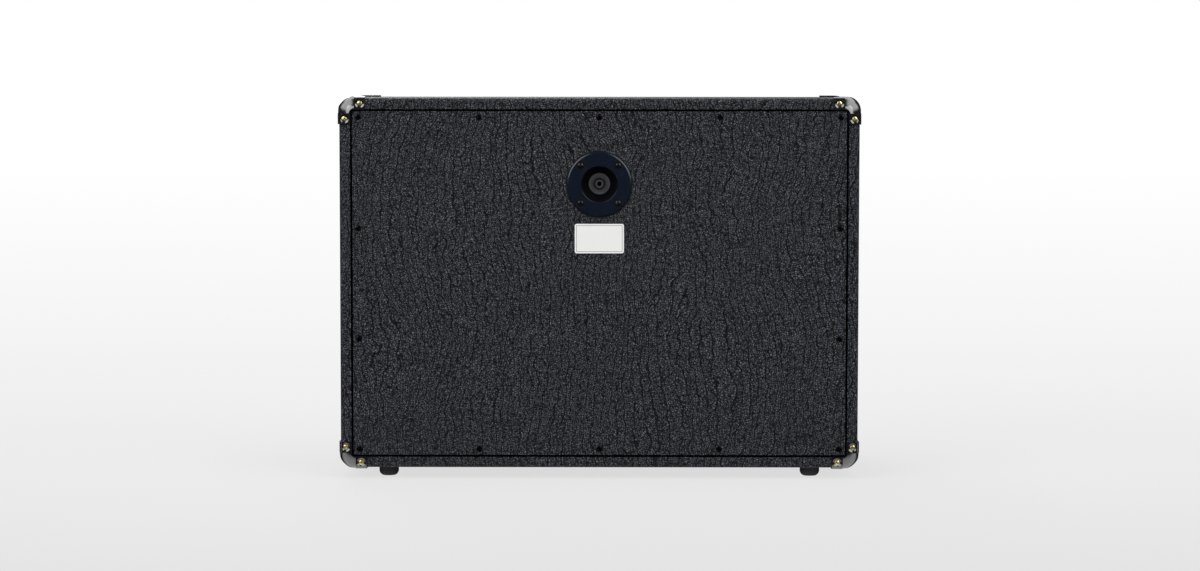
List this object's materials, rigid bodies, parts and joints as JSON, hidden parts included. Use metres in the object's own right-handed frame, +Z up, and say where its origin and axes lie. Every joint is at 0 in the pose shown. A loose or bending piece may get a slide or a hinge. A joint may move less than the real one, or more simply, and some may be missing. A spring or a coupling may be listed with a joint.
{
  "type": "guitar speaker cabinet",
  "caption": "Closed-back guitar speaker cabinet: vinyl-covered plywood case with ball corners, grille cloth, side handles, rubber feet and a dished jack plate on its screwed back.",
  "frame": {"origin": "on the ground under the middle of the case", "axes": "+Z up, -Y out of the grille, +Y out of the back panel, +X to the right as seen from the grille"},
  "size_m": [0.7472, 0.3044, 0.5462],
  "materials": {
    "plywood": "sanded birch plywood",
    "vinyl": "embossed black vinyl",
    "corner_plastic": "polished",
    "brass_screw": "brass plated",
    "black_screw": "black finish",
    "foot_rubber": "moulded",
    "handle_plastic": "moulded",
    "jack_plate_plastic": "polished",
    "socket_plastic": "moulded",
    "nickel": "nickel plated",
    "label_paper": "blank label",
    "grille_cloth": "woven",
    "piping": "extruded",
    "basket_paint": "pressed steel, painted",
    "cone_paper": "pressed paper",
    "doped_cloth": "doped cloth",
    "winding": "lacquered copper",
    "magnet_ferrite": "ferrite",
    "pole_steel": "zinc plated",
    "gasket_board": "pressed board",
    "cable_sheath": "flexible sheath"
  },
  "bodies": {
    "cabinet": {"back_covering": "vinyl", "back_panel": "plywood", "back_panel_screws": "black_screw", "baffle_board": "plywood", "bottom_panel": "plywood", "cable_clips": "socket_plastic", "carcass_covering": "vinyl", "cleats": "plywood", "corner_front_bottom_left": "corner_plastic", "corner_front_bottom_right": "corner_plastic", "corner_front_top_left": "corner_plastic", "corner_front_top_right": "corner_plastic", "corner_rear_bottom_left": "corner_plastic", "corner_rear_bottom_right": "corner_plastic", "corner_rear_top_left": "corner_plastic", "corner_rear_top_right": "corner_plastic", "corner_screws": "brass_screw", "foot_front_left": "foot_rubber", "foot_front_right": "foot_rubber", "foot_rear_left": "foot_rubber", "foot_rear_right": "foot_rubber", "foot_screws": "black_screw", "grille_cloth": "grille_cloth", "grille_frame": "plywood", "grille_piping": "piping", "grille_screws": "black_screw", "handle_screws": "black_screw", "jack_housing": "socket_plastic", "jack_nut": "socket_plastic", "jack_plate": "jack_plate_plastic", "jack_plate_screws": "black_screw", "left_basket": "basket_paint", "left_handle": "handle_plastic", "left_side_panel": "plywood", "left_spider": "doped_cloth", "left_surround": "doped_cloth", "left_tinsel_leads": "winding", "rating_label": "label_paper", "right_basket": "basket_paint", "right_handle": "handle_plastic", "right_side_panel": "plywood", "right_spider": "doped_cloth", "right_surround": "doped_cloth", "right_tinsel_leads": "winding", "speaker_cables": "cable_sheath", "speaker_gaskets": "gasket_board", "speaker_magnets": "magnet_ferrite", "speaker_pole_pieces": "pole_steel", "speaker_screws": "black_screw", "speaker_terminals": "socket_plastic", "speaker_top_plates": "pole_steel", "top_panel": "plywood"},
    "left_cone_assembly": {"left_cone": "cone_paper", "left_dust_cap": "cone_paper", "left_voice_coil": "winding"},
    "right_cone_assembly": {"right_cone": "cone_paper", "right_dust_cap": "cone_paper", "right_voice_coil": "winding"},
    "jack_spring": {"jack_tip_spring": "nickel"}
  },
  "joints": [
    {"name": "left_cone_travel", "type": "slide", "parent": "cabinet", "child": "left_cone_assembly", "axis": [0, -1, 0], "range_m": [-0.003, 0.003], "stiffness_N_per_m": 7800, "deforming": ["left_surround", "left_spider", "left_tinsel_leads"]},
    {"name": "right_cone_travel", "type": "slide", "parent": "cabinet", "child": "right_cone_assembly", "axis": [0, -1, 0], "range_m": [-0.003, 0.003], "stiffness_N_per_m": 7800, "deforming": ["right_surround", "right_spider", "right_tinsel_leads"]},
    {"name": "jack_spring_lift", "type": "hinge", "parent": "cabinet", "child": "jack_spring", "pos_m": [0, 0.1041, 0.4286], "axis": [1, 0, 0], "range_deg": [0, 8], "stiffness_Nm_per_rad": 0.05}
  ]
}
